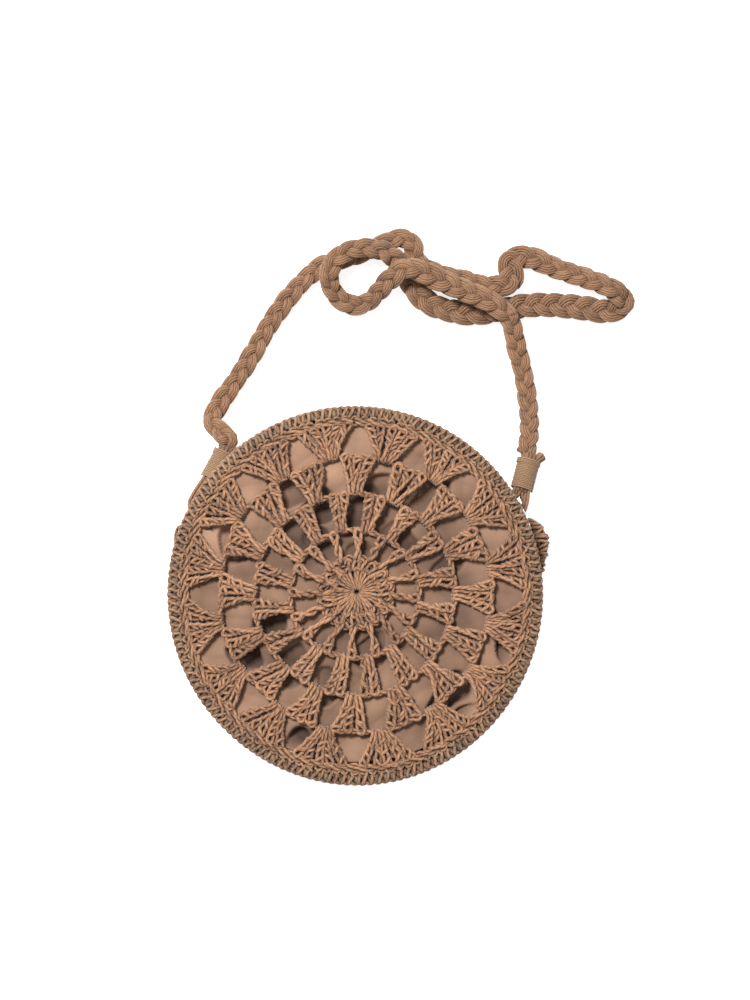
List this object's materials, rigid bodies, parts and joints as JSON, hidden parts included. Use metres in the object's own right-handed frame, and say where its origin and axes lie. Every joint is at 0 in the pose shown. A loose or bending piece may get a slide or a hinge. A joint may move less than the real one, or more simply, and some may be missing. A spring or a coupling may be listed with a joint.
{
  "type": "round crochet shoulder bag",
  "caption": "Round crocheted shoulder bag lying on its back, with openwork faces over a lining, a zip along its top edge and a braided strap on metal rings.",
  "frame": {"origin": "centre of the back face, on the surface that the bag lies on", "axes": "+Z from the back face to the front face, +Y towards the top of the bag, where the zip is"},
  "size_m": [0.2363, 0.2818, 0.048],
  "materials": {
    "crochet_cotton": "matte",
    "lining_cloth": "matte",
    "zip_tape": "matte",
    "zip_teeth": "satin",
    "zip_metal": "satin",
    "ring_metal": "polished",
    "braided_strap": "matte",
    "binding_thread": "satin"
  },
  "bodies": {
    "bag": {"front_panel": "crochet_cotton", "front_rim": "crochet_cotton", "back_panel": "crochet_cotton", "back_rim": "crochet_cotton", "side_band": "crochet_cotton", "lining_front": "lining_cloth", "lining_back": "lining_cloth", "lining_side": "lining_cloth", "zip_tape_front": "zip_tape", "zip_tape_back": "zip_tape", "zip_teeth_front": "zip_teeth", "zip_teeth_back": "zip_teeth", "zip_top_stops": "zip_metal", "zip_bottom_stop": "zip_metal", "ring_tab_left": "crochet_cotton", "ring_tab_right": "crochet_cotton", "strap_run_left": "braided_strap", "strap_pile": "braided_strap", "strap_run_right": "braided_strap"},
    "zip_slider": {"zip_slider": "zip_metal"},
    "zip_pull": {"zip_pull": "zip_metal"},
    "ring_left": {"ring_left": "ring_metal"},
    "ring_right": {"ring_right": "ring_metal"},
    "strap_end_left": {"strap_end_left": "braided_strap", "binding_left": "binding_thread"},
    "strap_end_right": {"strap_end_right": "braided_strap", "binding_right": "binding_thread"}
  },
  "joints": [
    {"name": "zip_slide", "type": "hinge", "parent": "bag", "child": "zip_slider", "pos_m": [0, 0, 0.024], "axis": [0, 0, 1], "range_deg": [0, 77]},
    {"name": "pull_swing", "type": "hinge", "parent": "zip_slider", "child": "zip_pull", "pos_m": [0.06092, 0.06543, 0.024], "axis": [0, 0, 1], "range_deg": [0, 160]},
    {"name": "strap_swing_right", "type": "hinge", "parent": "bag", "child": "strap_end_right", "pos_m": [0.08999, 0.02751, 0.024], "axis": [0, 0, -1], "range_deg": [-2, 20], "deforming": ["strap_run_right"]},
    {"name": "strap_swing_left", "type": "hinge", "parent": "bag", "child": "strap_end_left", "pos_m": [-0.08924, 0.02986, 0.024], "axis": [0, 0, 1], "range_deg": [0, 20], "deforming": ["strap_run_left"]},
    {"name": "ring_turn_right", "type": "hinge", "parent": "strap_end_right", "child": "ring_right", "pos_m": [0.08643, 0.03632, 0.024], "axis": [0.9272, 0.3746, 0], "continuous": true},
    {"name": "ring_turn_left", "type": "hinge", "parent": "strap_end_left", "child": "ring_left", "pos_m": [-0.08453, 0.03811, 0.024], "axis": [0.8686, -0.4955, 0], "continuous": true}
  ]
}
